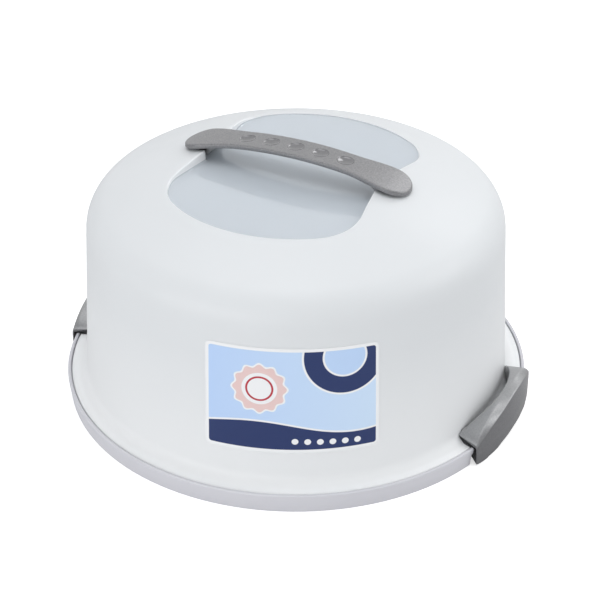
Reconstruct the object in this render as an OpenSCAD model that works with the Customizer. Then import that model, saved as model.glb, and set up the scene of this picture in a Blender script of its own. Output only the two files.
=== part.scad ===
// Round cake carrier: a white tray, a tall lift-off cover with a see-through
// recessed window and a strap handle, and two hinged side latches that clamp
// the cover's flange to the tray. Millimetres, +Z up. The origin is on the
// table under the middle of the tray. The handle runs along X, the latches are
// at the +X and -X ends, and the label is on the -Y side.

/* [Tray] */
// Outer radius of the tray's rim
rim_r = 176; // [165:0.5:190]
// Height of the rim above the table
rim_h = 14.5; // [14:0.1:17]
// Width of the bead that runs round the top of the rim
bead_w = 2.5; // [2:0.1:3.5]
// Height of that bead above the seat of the cover
bead_h = 3; // [2.6:0.1:3.6]
// Thickness of the tray's deck and skirt
tray_t = 2.2; // [1.8:0.1:2.6]
// How much smaller the skirt is at its foot than at the rim
skirt_lean = 1.4; // [0.5:0.1:2.5]
// Height of the ring that centres the cover
guide_h = 4.5; // [3:0.1:6]
// Width of that ring
guide_w = 2; // [1.5:0.1:3]
// Radius of the support ring under the deck
support_r = 96; // [80:1:120]
// Number of ribs under the deck
rib_count = 12; // [6:1:18]
// Thickness of the ribs and of the support ring
rib_t = 1.8; // [1.4:0.1:2.4]

/* [Cover] */
// Wall thickness of the cover
cover_t = 2; // [1.6:0.1:2.4]
// Width of the flat flange outside the wall
flange_w = 11.6; // [11:0.1:13]
// Height of the cover's top above its seat on the tray
cover_h = 174.5; // [165:0.5:185]
// Inward lean of the wall, in degrees
wall_draft = 3.6; // [2:0.1:5]
// Radius of the curve from the flange up into the wall
foot_r = 8; // [7:0.1:9]
// Radius of the shoulder between the wall and the crown
shoulder_r = 26.8; // [22:0.1:32]
// Radius of the crowned top
crown_r = 348.8; // [320:0.1:400]

/* [Window] */
// Radius of the window's front and back edges
window_r = 98; // [90:0.5:105]
// Half of the window's width at its widest
window_half_w = 72.5; // [71:0.5:75]
// Half of the window's width where its sides narrow towards the handle
window_waist = 68; // [66:0.5:69]
// Radius of the window's four corners
window_corner_r = 38; // [34:0.5:42]
// Depth of the window's flat floor below the top of the crown
window_depth = 15; // [14.5:0.1:16]
// Width of the pocket under each end of the handle
pocket_w = 22; // [20:0.5:26]
// Distance from the middle to the outer wall of each pocket
pocket_reach = 77; // [75:0.1:79]

/* [Handle] */
// Half of the handle's length
strap_half_l = 89.8; // [88:0.1:96]
// Extra height of the strap's middle over the crown, beyond that of its ends
strap_lift = 1.3; // [0.5:0.1:6]
// Thickness of the strap
strap_t = 4; // [3:0.1:5]
// Width of the strap in the middle
strap_w = 24.6; // [20:0.1:26]
// Width of the strap's paddle ends
paddle_w = 31; // [28:0.5:34]
// Distance from the middle to where the strap begins to widen
strap_neck = 42; // [30:1:50]
// Number of finger dimples along the top
dimple_count = 5; // [1:1:5]
// Distance between neighbouring dimples
dimple_pitch = 19.6; // [15:0.1:22]
// Diameter of each dimple
dimple_d = 11.4; // [8:0.1:13]
// Depth of each dimple
dimple_depth = 1.2; // [0.6:0.1:1.6]
// Width of the hooked legs
leg_w = 19; // [14:0.5:19.5]
// Thickness of the hooked legs
leg_t = 3.2; // [2.6:0.1:3.4]
// Rise of each leg's toe from the knee to the tip
toe_rise = 0.9; // [0.5:0.1:1]
// Distance from the middle to where a leg leaves the strap
leg_x = 59.5; // [58:0.5:62]

/* [Latches] */
// Half of the angle that each latch covers
latch_half_a = 17.6; // [16:0.1:20]
// Thickness of the latch's outer wall
latch_t = 2.5; // [2.2:0.1:3]
// Height of the upright part of the outer face above the table
face_h = 13; // [11:0.5:14]
// Lean of the outer face above that, in degrees
face_lean = 5; // [3:0.5:7]
// Height of the outer face's upper edge above the rim, in the middle
brow_rise = 17.5; // [15:0.5:19]
// Fall of that edge from the middle to the ends
brow_fall = 16; // [13:0.5:16]
// Height of the crest above the rim, in the middle
crest_rise = 16.7; // [15:0.1:18]
// Fall of the crest to the ends
crest_fall = 14; // [12:0.5:14.5]
// Distance of the crest in from the outer face, in the middle
crest_in = 9.7; // [8:0.1:10.5]
// Distance of the crest in from the outer face, at the ends
crest_end_in = 1.7; // [1.5:0.1:3]
// Fall of the lip's inner edge to the ends
lip_fall = 12; // [10:0.5:12.5]
// Distance of the lip's inner edge in from the outer face, in the middle
lip_in = 11.5; // [11:0.1:12.5]
// Distance of the lip's inner edge in from the outer face, at the ends
lip_end_in = 18.3; // [17:0.1:19]
// Height from the rim's plane to the lip's inner edge, in the middle
lip_rise = 16.5; // [15:0.1:17.5]
// Share of the latch's angle that stands clear of the cover, as a finger grip
grip_share = 0.75; // [0.6:0.05:0.8]

/* [Hinges] */
// Radius of the hinge pins moulded on the latch
pin_r = 1.5; // [1.2:0.1:1.8]
// Radial running clearance of the pins in their ears
pin_gap = 0.05; // [0.02:0.01:0.1]
// Radius of the latch's barrel between the ears
barrel_r = 2.6; // [2.3:0.1:2.8]
// Radius of the tray's ears
ear_r = 2.9; // [2.7:0.1:3]
// Half of the distance between the two ears
ear_half_gap = 16; // [12:0.5:20]
// Thickness of each ear
ear_t = 4; // [3:0.5:5]
// How far the round of a latch's lower lip would stand out past its outer face
lip_over = 0.7; // [0.4:0.1:1]

/* [Label] */
// Width of the label round the wall
label_w = 120; // [90:1:140]
// Height of the label
label_h = 81.5; // [60:0.5:90]
// Height of the label's lower edge above the table
label_z = 39.5; // [36:0.5:50]
// Direction that the label faces, in degrees from +X
label_a = -64.4; // [-90:0.1:-50]
// Thickness of the label
label_t = 0.25; // [0.2:0.01:0.4]

/* [Clearances] */
// Gap between the cover and its seat
seat_gap = 0.3; // [0.2:0.05:0.4]
// Gap between the flange and the bead round it
flange_gap = 0.8; // [0.5:0.1:1.2]
// Gap between the centring ring and the cover's wall
guide_gap = 2; // [1.5:0.1:3]
// Gap between a closed latch and what it clamps
latch_gap = 0.5; // [0.4:0.1:0.8]
// Rise of a latch's underside from the rim in to the cover's foot
latch_arch = 1; // [0.5:0.1:1.2]
// Gap between the rim and the inside of a latch
rim_gap = 1; // [0.8:0.1:1.4]
// Gap between the table and a latch's lower lip
table_gap = 0.3; // [0.2:0.1:0.5]
// Gap between a swinging latch and the back of its notch
notch_gap = 0.8; // [0.6:0.1:1]
// Gap between an ear and the latch on either side of it
ear_side_gap = 0.4; // [0.3:0.05:0.5]
// Gap between the handle's ends and the crown
strap_gap = 0.8; // [0.5:0.1:1]
// Gap between the handle's toes and their slots in the cover
slot_gap = 0.3; // [0.2:0.05:0.4]
// Gap between the label and the wall
label_gap = 0.1; // [0.05:0.01:0.2]

/* [Hidden] */
$fn = 128;
fine = 32;
far = 400;
eps = 0.01;

// Levels of the tray
deck_z = rim_h - bead_h;
pocket_top = deck_z - 1.7;
hinge_z = pocket_top - 3.8;

// Flange, foot curve and wall of the cover
flange_r = rim_r - bead_w - flange_gap;
flange_z = deck_z + seat_gap;
flange_top = flange_z + cover_t;
wall_r = flange_r - flange_w;
foot_c = [wall_r + foot_r * (1 - sin(wall_draft)) / cos(wall_draft), flange_top + foot_r];

// Centre of the shoulder: one radius inside the wall, and tangent to the crown
cover_top = deck_z + cover_h;
crown_c = [0, cover_top - crown_r];
wall_n = [cos(wall_draft), sin(wall_draft)];
wall_u = [-sin(wall_draft), cos(wall_draft)];
shoulder_b = [wall_r, flange_top] - shoulder_r * wall_n;
shoulder_w = shoulder_b - crown_c;
shoulder_d = (shoulder_w * wall_u) * (shoulder_w * wall_u)
  - shoulder_w * shoulder_w + (crown_r - shoulder_r) * (crown_r - shoulder_r);
shoulder_c = shoulder_b + (sqrt(shoulder_d) - shoulder_w * wall_u) * wall_u;
shoulder_a = atan2(shoulder_c.y - crown_c.y, shoulder_c.x);

// Window recess
window_z = cover_top - window_depth;
knee_z = window_z + leg_t / 2 + slot_gap;

// Centring ring
guide_r = wall_r - cover_t - guide_gap;

// Handle
paddle_x = strap_half_l - paddle_w / 2;

// Latches and their hinges
latch_in = rim_r + rim_gap;
latch_r = latch_in + latch_t;
lip_r = hinge_z - table_gap;
hinge_x = latch_r - lip_r + lip_over;
notch_r = hinge_x - lip_r - notch_gap;
notch_a = latch_half_a + 0.5;
latch_under = rim_h + latch_gap;
under_a = asin((foot_c.y - latch_under - latch_arch) / (foot_r - latch_gap));
under_end = foot_c - (foot_r - latch_gap) * [cos(under_a), sin(under_a)];

// Height of the crown's outer surface at a distance x from the axis
function crown_z(x) = crown_c.y + sqrt(crown_r * crown_r - x * x);

// Outer radius of the wall at height z
function wall_at(z) = wall_r - (z - flange_top) * tan(wall_draft);

// Points on an arc about c, from angle a to angle b, in n steps
function arc(c, r, a, b, n) =
  [for (i = [0:n]) c + r * [cos(a + (b - a) * i / n), sin(a + (b - a) * i / n)]];

// The cover's outline from the wall's foot to the top, t inside the outer face
function dome(t) = concat(
  arc(foot_c, foot_r + t, 270, 180 + wall_draft, 8),
  arc(shoulder_c, shoulder_r - t, wall_draft, shoulder_a, 10),
  arc(crown_c, crown_r - t, shoulder_a, 90, 14)
);

// Plan of the window grown by g: round in front and at the back, with straight
// sides that run in from its round corners to the handle's pockets
function window_plan(g) =
  let (
    c = window_corner_r,
    x = window_half_w - c,
    y = sqrt((window_r - c) * (window_r - c) - x * x),
    a = atan2(y, x),
    w = [window_waist + g, pocket_w / 2] - [x, y],
    b = atan2(w.y, w.x) + acos((c + g) / norm(w))
  )
  concat(
    [[window_waist + g, pocket_w / 2]],
    arc([x, y], c + g, b, a, 6),
    arc([0, 0], window_r + g, a, 180 - a, 14),
    arc([-x, y], c + g, 180 - a, 180 - b, 6),
    [[-window_waist - g, pocket_w / 2], [-window_waist - g, -pocket_w / 2]],
    arc([-x, -y], c + g, 180 + b, 180 + a, 6),
    arc([0, 0], window_r + g, 180 + a, 360 - a, 14),
    arc([x, -y], c + g, 360 - a, 360 - b, 6),
    [[window_waist + g, -pocket_w / 2]]
  );

// Height of the strap's top at x: lifted in the middle, lying on the crown at its ends
function strap_z(x) =
  crown_z(x) + strap_gap + strap_t
  + strap_lift * (1 + cos(180 * pow(abs(x) / strap_half_l, 8))) / 2;

// Half width of the strap at x, growing smoothly from the middle to the paddles
function strap_hw(x) =
  let (u = min(1, max(0, (abs(x) - strap_neck) / (paddle_x - strap_neck))))
  strap_w / 2 + (paddle_w - strap_w) / 2 * (1 - cos(180 * u)) / 2;

// Half of the thickness t, to the left of the way from p to q
function side(p, q, t) = t / 2 / norm(q - p) * [p.y - q.y, q.x - p.x];

// Ring segment about Z with the given section, from -a to a degrees
module ring_part(section, a) {
  rotate([0, 0, -a])
    rotate_extrude(angle = 2 * a)
      polygon(section);
}

// Bar of thickness t through the points p, q and r, mitred at q
module bent_bar(p, q, r, t) {
  m = side(p, q, t) + side(q, r, t);
  corner = m * (t * t / 2) / (m * m);
  polygon([
    p + side(p, q, t),
    q + corner,
    r + side(q, r, t),
    r - side(q, r, t),
    q - corner,
    p - side(p, q, t)
  ]);
}

// Cylinder along Y about the hinge line of the +X latch
module on_hinge(r, y0, y1) {
  translate([hinge_x, y1, hinge_z])
    rotate([90, 0, 0])
      cylinder(r = r, h = y1 - y0, $fn = fine);
}

// Applies its children at both ends of the tray
module both_sides() {
  for (a = [0, 180])
    rotate([0, 0, a])
      children();
}

// Ribs and support ring under the deck
module under_deck() {
  rotate_extrude()
    translate([support_r, 0])
      square([rib_t, deck_z - eps]);
  for (i = [0:rib_count - 1])
    rotate([0, 0, (i + 0.5) * 360 / rib_count])
      translate([support_r + rib_t / 2, -rib_t / 2, table_gap * 4])
        cube([notch_r - tray_t - support_r, rib_t, deck_z - table_gap * 4 - eps]);
}

// Deck, rim, skirt and centring ring in one turned section
module tray_turned() {
  rotate_extrude()
    polygon([
      [0, deck_z],
      [guide_r - guide_w, deck_z],
      [guide_r - guide_w + 0.3, deck_z + guide_h],
      [guide_r - 0.3, deck_z + guide_h],
      [guide_r, deck_z],
      [rim_r - bead_w, deck_z],
      [rim_r - bead_w, rim_h - 0.5],
      [rim_r - bead_w + 0.5, rim_h],
      [rim_r - 1, rim_h],
      [rim_r - 0.3, rim_h - 0.3],
      [rim_r, rim_h - 1],
      [rim_r - skirt_lean, 0],
      [rim_r - skirt_lean - tray_t, 0],
      [rim_r - tray_t, deck_z - tray_t],
      [0, deck_z - tray_t]
    ]);
}

// Solid block behind the skirt, from which each latch's notch is cut
module notch_block() {
  ring_part([
    [notch_r - tray_t, 0],
    [rim_r - skirt_lean - tray_t / 2, 0],
    [rim_r - tray_t / 2, deck_z - tray_t / 2],
    [notch_r - tray_t, deck_z - tray_t / 2]
  ], notch_a + 0.7);
}

// Two ears that carry a latch's pins, hung from the roof of the notch
module ears() {
  for (s = [-1, 1]) {
    y0 = s > 0 ? ear_half_gap : -ear_half_gap - ear_t;
    on_hinge(ear_r, y0, y0 + ear_t);
    translate([notch_r - tray_t, y0, hinge_z - latch_gap / 2])
      cube([hinge_x - notch_r + tray_t, ear_t, pocket_top - hinge_z + latch_gap]);
  }
}

module base_tray() {
  color("white")
    difference() {
      union() {
        difference() {
          union() {
            tray_turned();
            under_deck();
            both_sides()
              notch_block();
          }
          both_sides()
            ring_part([
              [notch_r, -1],
              [rim_r + 1, -1],
              [rim_r + 1, pocket_top],
              [notch_r, pocket_top]
            ], notch_a);
        }
        both_sides()
          ears();
      }
      both_sides()
        on_hinge(pin_r + pin_gap, -ear_half_gap - ear_t - 1, ear_half_gap + ear_t + 1);
    }
}

// The window's recess and its two pockets, grown by g on every side
module window_recess(g) {
  translate([0, 0, window_z - g])
    linear_extrude(far)
      polygon(window_plan(g));
  translate([-pocket_reach - g, -pocket_w / 2 - g, window_z - g])
    cube([2 * (pocket_reach + g), pocket_w + 2 * g, far]);
}

module cover() {
  color("aliceblue")
    difference() {
      rotate_extrude()
        polygon(concat(
          [[0, flange_z], [flange_r, flange_z], [flange_r, flange_top - 0.5], [flange_r - 0.5, flange_top]],
          dome(0)
        ));
      difference() {
        rotate_extrude()
          polygon(concat([[0, flange_z - 1], [foot_c.x, flange_z - 1]], dome(cover_t)));
        window_recess(cover_t);
      }
      window_recess(0);
      // Slots in the pockets' outer walls for the handle's toes
      for (s = [-1, 1])
        translate([s * (pocket_reach + cover_t / 2), 0, knee_z + toe_rise * 0.8])
          cube([cover_t + 1, leg_w + 2 * slot_gap, leg_t + 3 * slot_gap], center = true);
    }
}

// Hooked leg under the +X end of the strap
module leg() {
  knee = [pocket_reach - leg_t - slot_gap * 5, knee_z];
  rotate([90, 0, 0])
    linear_extrude(leg_w, center = true)
      bent_bar(
        [leg_x, strap_z(leg_x) - strap_t / 2],
        knee,
        [pocket_reach + cover_t, knee_z + toe_rise],
        leg_t
      );
}

module strap() {
  xs = [for (i = [-24:24]) strap_half_l * i / 24];
  ws = [for (i = [-20:20]) paddle_x * i / 20];
  intersection() {
    rotate([90, 0, 0])
      linear_extrude(paddle_w + 2, center = true)
        polygon(concat(
          [for (x = xs) [x, strap_z(x)]],
          [for (x = xs) [-x, strap_z(x) - strap_t]]
        ));
    linear_extrude(far)
      polygon(concat(
        [for (x = ws) [x, -strap_hw(x)]],
        arc([paddle_x, 0], paddle_w / 2, -80, 80, 12),
        [for (x = ws) [-x, strap_hw(x)]],
        arc([-paddle_x, 0], paddle_w / 2, 100, 260, 12)
      ));
  }
}

module handle() {
  dimple_ball = (dimple_d * dimple_d / 4 + dimple_depth * dimple_depth) / (2 * dimple_depth);
  color("gray")
    difference() {
      union() {
        strap();
        leg();
        mirror([1, 0, 0])
          leg();
      }
      for (i = [0:dimple_count - 1]) {
        x = (i - (dimple_count - 1) / 2) * dimple_pitch;
        translate([x, 0, strap_z(x) - dimple_depth + dimple_ball])
          rotate([90, 0, 0])
            sphere(r = dimple_ball, $fn = 64);
      }
    }
}

// Radius of the latch's outer face at height z, above its upright part
function face_at(z) = latch_r - (z - face_h) * tan(face_lean);

// Radius and height of the lip's inner edge at a share u of the half angle
function lip_at(u) = [
  latch_r - lip_in - (lip_end_in - lip_in) * pow(u, 2.2),
  rim_h + lip_rise - lip_fall * pow(u, 3)
];

// The same for the crest
function crest_at(u) = [
  latch_r - crest_in + (crest_in - crest_end_in) * pow(u, 1.2),
  rim_h + crest_rise - crest_fall * pow(u, 4)
];

// The same for the outer face's upper edge
function brow_at(u) =
  let (z = rim_h + brow_rise - brow_fall * pow(u, 1.8))
  [face_at(z), z];

// The latch's underside over the rim, at radius r
function under_at(r) =
  latch_under + latch_arch * (latch_in - r) / (latch_in - under_end.x);

// Inner side of the latch from the lip down, where it stands clear of the cover
function open_side(u) =
  let (p = lip_at(u), q = [p.x, under_at(p.x)])
  [for (i = [0:4]) p + (q - p) * i / 4];

// The same where it follows the cover's foot
function shut_side(u) =
  let (
    z = lip_at(u).y,
    r = foot_r - latch_gap,
    a = max(wall_draft, asin((foot_c.y - z) / r)),
    start = a > wall_draft ? [] : [[wall_at(z) + latch_gap, z]],
    n = 4 - len(start)
  )
  concat(start, arc(foot_c, r, 180 + a, 180 + under_a, n));

// Outline of a closed latch, at a share u of its half angle
function latch_outline(u) = concat(
  [[latch_in, table_gap], [latch_r, table_gap], [latch_r, face_h]],
  [brow_at(u), crest_at(u)],
  u <= grip_share ? open_side(u) : shut_side(u),
  [[latch_in, latch_under]]
);

// An outline of radius and height as points at the angle a
function turned(outline, a) = [for (q = outline) [q.x * cos(a), q.x * sin(a), q.y]];

// Solid of the latch through its outlines
module latch_body() {
  ends = [for (i = [0:4]) 1 - (1 - grip_share - 0.02) * i / 4];
  middle = [for (i = [0:6]) grip_share * (6 - i) / 6];
  half = concat(ends, middle);
  shares = concat([for (u = half) -u], [for (i = [len(half) - 2:-1:0]) half[i]]);
  rows = [for (u = shares) turned(latch_outline(abs(u)), u * latch_half_a)];
  n = len(rows[0]);
  m = len(rows);
  sides = [
    for (j = [0:m - 2]) for (i = [0:n - 1])
      [j * n + i, (j + 1) * n + (i + 1) % n, (j + 1) * n + i]
  ];
  others = [
    for (j = [0:m - 2]) for (i = [0:n - 1])
      [j * n + i, j * n + (i + 1) % n, (j + 1) * n + (i + 1) % n]
  ];
  cap = [[0, 2, 1], [0, 10, 2], [10, 3, 2], [10, 4, 3], [9, 4, 10], [9, 5, 4], [9, 6, 5], [9, 7, 6], [9, 8, 7]];
  far_cap = [for (f = cap) [for (k = [2:-1:0]) (m - 1) * n + f[k]]];
  polyhedron(points = [for (row = rows) each row], faces = concat(sides, others, cap, far_cap));
}

// Closed latch at the +X end
module latch() {
  difference() {
    latch_body();
    // Lower lip kept within its swing above the table
    difference() {
      translate([hinge_x - far / 8, -far / 4, -1])
        cube([far / 4, far / 2, hinge_z + 1]);
      on_hinge(lip_r, -far / 4 - 1, far / 4 + 1);
    }
    // Room for the ears
    for (s = [-1, 1]) {
      y0 = s > 0 ? ear_half_gap : -ear_half_gap - ear_t;
      on_hinge(ear_r + latch_gap, y0 - ear_side_gap, y0 + ear_t + ear_side_gap);
    }
  }
  // Barrel, its web to the outer wall, and the pins
  barrel_half = ear_half_gap - ear_side_gap;
  pin_half = ear_half_gap + ear_t + ear_side_gap + latch_gap;
  on_hinge(barrel_r, -barrel_half, barrel_half);
  translate([hinge_x, -barrel_half, hinge_z - barrel_r])
    cube([latch_in - hinge_x + latch_t / 2, 2 * barrel_half, 2 * barrel_r]);
  on_hinge(pin_r, -pin_half, pin_half);
}

module latch_right() {
  color("dimgray")
    latch();
}

module latch_left() {
  color("dimgray")
    rotate([0, 0, 180])
      latch();
}

// Thin label wrapped round the wall
module label() {
  mid_r = wall_at(label_z + label_h / 2);
  half_a = label_w / mid_r / 2 * 180 / PI;
  low = label_z;
  high = label_z + label_h;
  color("lightblue")
    rotate([0, 0, label_a])
      ring_part([
        [wall_at(low) + label_gap, low],
        [wall_at(low) + label_gap + label_t, low],
        [wall_at(high) + label_gap + label_t, high],
        [wall_at(high) + label_gap, high]
      ], half_a);
}

base_tray();
cover();
handle();
latch_right();
latch_left();
label();
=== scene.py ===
import math

import bpy
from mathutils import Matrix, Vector


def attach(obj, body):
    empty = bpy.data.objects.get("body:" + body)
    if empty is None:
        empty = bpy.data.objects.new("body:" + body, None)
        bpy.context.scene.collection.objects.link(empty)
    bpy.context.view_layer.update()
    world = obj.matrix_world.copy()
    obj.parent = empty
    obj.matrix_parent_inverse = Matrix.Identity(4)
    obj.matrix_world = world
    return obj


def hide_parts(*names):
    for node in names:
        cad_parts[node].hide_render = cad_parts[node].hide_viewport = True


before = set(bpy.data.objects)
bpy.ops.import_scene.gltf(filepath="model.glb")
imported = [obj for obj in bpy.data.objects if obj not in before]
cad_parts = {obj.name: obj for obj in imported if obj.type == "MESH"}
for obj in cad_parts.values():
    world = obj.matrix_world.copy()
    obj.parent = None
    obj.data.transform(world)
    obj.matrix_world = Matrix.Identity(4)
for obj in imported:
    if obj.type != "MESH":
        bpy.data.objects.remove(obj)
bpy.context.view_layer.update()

MM = 0.001

# Sizes are in millimetres. To a tenth, they are those of the solids unless a comment says
# otherwise. The eased edges are only here, and so are the label's round corners.

# Cover
COVER_T = 2.0
COVER_TOP = 186.0
DRAFT = math.radians(3.6)
SHOULDER_R = 26.8
CROWN_R = 348.8
FOOT_R = 8.0
FLANGE_R = 172.7
FLANGE_Z = 11.8
FLANGE_W = 11.6
FLANGE_CHAMFER = 0.3
FLANGE_EDGE_R = 0.8
# The inner skin starts this far inside the flange's edge
FLANGE_HEM = 1.5
# Two rings lie on the flange, this far outside the start of the foot
FOOT_RUN = (2.4, 1.2)

# Window in the cover, with the pockets for the handle's ends
WINDOW_R = 98.0
WINDOW_HALF_W = 72.5
WINDOW_WAIST = 68.0
WINDOW_CORNER_R = 38.0
WINDOW_Z = 171.0
# The step down to the window: its lean, and the radii at its top and foot on both skins
WINDOW_LEAN = 0.8
WINDOW_EDGES = (0.9, 1.5)
WINDOW_INNER_EDGES = (0.3, 0.6)
# Shares of the outline at which the window's flat has rings
WINDOW_FLOOR_RINGS = (0.97, 0.9, 0.8, 0.68, 0.55, 0.42, 0.3, 0.18, 0.08)
POCKET_HALF_W = 11.0
POCKET_REACH = 77.0
POCKET_OUT_R = 3.0
POCKET_IN_R = 2.0

# Handle
STRAP_HALF_L = 89.8
STRAP_W = 24.6
STRAP_NECK = 42.0
STRAP_T = 4.0
STRAP_GAP = 0.8
# The strap's lift, and the power with which it goes over into its ends
STRAP_LIFT = 1.3
STRAP_BEND = 8
STRAP_EDGE_R = 1.3
PADDLE_W = 31.0
PADDLE_X = STRAP_HALF_L - PADDLE_W / 2
DISH_STEP = 19.6
# The dishes are 0.3 wider in radius and 0.5 deeper than in the solid. The mouth's eased edge
# goes down in steps of a run and a sink; the depth is that below this edge.
DISH_R = 6.0
DISH_MOUTH_R = 6.45
DISH_EASE = (0.15, 0.03)
DISH_DEPTH = 1.25
DISH_RINGS = (0.92, 0.82, 0.7, 0.56, 0.4, 0.22)
LEG_X = 59.5
LEG_T = 3.2
LEG_W = 19.0
LEG_EDGE_R = 0.5
SLOT_GAP = 0.3

# Latches and their hinges
RIM_H = 14.5
LATCH_A = 17.6
LATCH_R = 179.5
# The upright wall's inner face, which is at 177 in the solid
LATCH_IN = 177.6
LATCH_GAP = 0.5
# The underside's rise, and the radii between which it rises
LATCH_ARCH = 1.0
LATCH_ARCH_R = (177.0, 163.86)
LATCH_END_R = 0.5
FACE_H = 13.0
FACE_LEAN = math.radians(5)
# Share of the half angle from which the inner side closes on the cover; the solid has a step
GRIP_FROM = 0.3
TABLE_GAP = 0.3
# The lower edge stays this near to the hinge's line and starts where it is this thick
LIP_R = 5.7
LIP_THIN = 0.5
HINGE_X = 174.5
HINGE_Z = 6.0
BARREL_R = 2.6
BARREL_HALF = 15.6
WEB_X = 178.2
PIN_R = 1.5
PIN_FROM = 15.4
PIN_TO = 20.9
BAR_CHAMFER = 0.3

# Upper edges of a latch, each as its value at the middle, the change from there to the ends
# and the power of the share along which it changes: inset from the outer face, height over
# the tray's rim
LIP_INSET, LIP_HEIGHT = (11.5, 6.8, 2.2), (16.5, -12, 3)
CREST_INSET, CREST_HEIGHT = (9.7, -8.0, 1.2), (16.7, -14, 4)
BROW_HEIGHT = (17.5, -16, 1.8)

# How far the latch's edges are eased
EASE_FACE = 2.0
EASE_BROW = 1.1
EASE_CREST = 1.6
EASE_LIP = 0.6
EASE_UNDER = 0.4

# Label
LABEL_W = 120.0
LABEL_H = 81.5
LABEL_Z = 39.5
LABEL_A = -64.4
LABEL_CORNER = 4.0
LABEL_FRONT = 0.35
LABEL_BACK = 0.1

# Lamps: name, place, target and size in metres, power in watts
LAMPS = (
    ("top_softbox", (0.0, -0.05, 1.6), (0, 0, 0.1), (1.2, 1.2), 5.5),
    ("right_softbox", (1.5, 0.7, 1.1), (0, 0, 0.12), (0.9, 0.9), 5.5),
    ("left_softbox", (-0.95, -0.05, 1.35), (0, 0, 0.1), (0.7, 0.7), 1.0),
    ("back_softbox", (0.35, 1.6, 1.4), (0, 0, 0.12), (0.8, 0.8), 5.0),
    ("front_strip", (-0.35, -1.8, 0.35), (0, 0, 0.1), (2.2, 0.35), 9.5),
)

# The room round the object, what it shows in a reflection, and the floor
ROOM_LOW = (0.74, 0.745, 0.755)
ROOM_HIGH = (0.66, 0.665, 0.68)
ROOM_LEFT = (0.56, 0.565, 0.585)
GLOSS_FRONT = (0.35, 0.35, 0.36)
GLOSS_BACK = (1.0, 1.0, 1.0)
BRIGHT = (1, 1, 1)
FLOOR_HALF = 6.0
FLOOR_TONE = (0.8, 0.8, 0.8)
FLOOR_GLOW = (0.6, 0.6, 0.6)

# Camera, in metres and degrees
CAMERA_PLACE = (0.45216, -0.90033, 0.69512)
CAMERA_DOWN = 32.139
CAMERA_TURN = 26.5
CAMERA_LENS = 93.88
CAMERA_SENSOR = 36.0

# Colours
PLASTIC_IOR = 1.49
FROST_T = 0.15
FROST_BODY = ((0.815, 0.84, 0.855), (0.835, 0.86, 0.875))
# Painted light: the whiter tones low on the cover's wall
FROST_FOOT_PAINTED_LIGHT = ((0.935, 0.95, 0.955), (0.945, 0.96, 0.965))
# Heights in metres between which the foot's painted light, a whiter colour low down, fades into
# the body's colour
FROST_PAINTED_LIGHT_FADE = (0.0138, 0.11)
FLANGE_T = 0.05
FLANGE_TONES = ((0.93, 0.945, 0.95), (0.945, 0.96, 0.965))
EDGE_T = 0.1
# Painted highlight: whiter tones for the step round the window
EDGE_HIGHLIGHT_TONES = ((0.9, 0.925, 0.945), (0.94, 0.955, 0.965))
CLEAR_T = 0.42
CLEAR_TONES = ((0.825, 0.89, 0.95), (0.845, 0.905, 0.96))
TRAY_TONES = ((0.62, 0.62, 0.66), (0.64, 0.64, 0.675))
GREY_METAL = 0.55
HANDLE_TONES = ((0.2, 0.2, 0.21), (0.3, 0.3, 0.305))
DISH_TONES = ((0.2, 0.2, 0.21), (0.24, 0.24, 0.245))
LATCH_TONES = ((0.14, 0.14, 0.15), (0.18, 0.18, 0.185))
# Painted light: lighter tones for the latches' upward-facing facets
LATCH_PAINTED_LIGHT = ((0.29, 0.295, 0.305), (0.38, 0.385, 0.39))

# Colours of the label's print
PRINT_WHITE = (0.86, 0.87, 0.88)
PRINT_NAVY = (0.012, 0.03, 0.125)
PRINT_BLUE = (0.5, 0.66, 0.91)
PRINT_SKY = ((0.47, 0.63, 0.9), (0.6, 0.75, 0.93))
PRINT_ROSE = (0.78, 0.58, 0.56)
PRINT_RED = (0.48, 0.03, 0.05)


# ---------------------------------------------------------------- plane geometry

def arc(c, r, a, b, n):
    """Points on an arc about c from angle a to angle b, in degrees, in n steps."""
    out = []
    for i in range(n + 1):
        t = math.radians(a + (b - a) * i / n)
        out.append((c[0] + r * math.cos(t), c[1] + r * math.sin(t)))
    return out


def between(p, q, s):
    """The point at a share s of the way from p to q."""
    return p[0] + (q[0] - p[0]) * s, p[1] + (q[1] - p[1]) * s


def line(p, q, n):
    """Points from p towards q in n steps, without q."""
    return [between(p, q, i / n) for i in range(n)]


def rounded(prev, p, nxt, r, n=4):
    """A corner eased by about r, as n + 1 points."""
    da, db = math.dist(prev, p), math.dist(nxt, p)
    t = min(r, 0.45 * da, 0.45 * db)
    a, b = between(p, prev, t / da), between(p, nxt, t / db)
    return [between(between(a, p, k / n), between(p, b, k / n), k / n) for k in range(n + 1)]


def inset(pts, d):
    """A counter-clockwise outline moved inwards by about d."""
    n = len(pts)
    out = []
    for i in range(n):
        (ax, ay), (bx, by) = pts[i - 1], pts[(i + 1) % n]
        size = math.hypot(bx - ax, by - ay) or 1
        out.append((pts[i][0] - d * (by - ay) / size, pts[i][1] + d * (bx - ax) / size))
    return out


def smooth_step(v, low, high):
    u = min(1.0, max(0.0, (v - low) / (high - low)))
    return u * u * (3 - 2 * u)


def edge_drop(d, r):
    """How far a rounded edge of radius r lies below the face, at a distance d from the outline."""
    if d >= r:
        return 0.0
    return r - math.sqrt(max(0.0, r * r - (r - d) ** 2))


# ---------------------------------------------------------------- shapes of the cover

FLANGE_TOP = FLANGE_Z + COVER_T
WALL_R = FLANGE_R - FLANGE_W
FOOT_C = (WALL_R + FOOT_R * (1 - math.sin(DRAFT)) / math.cos(DRAFT), FLANGE_TOP + FOOT_R)
CROWN_CZ = COVER_TOP - CROWN_R


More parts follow.
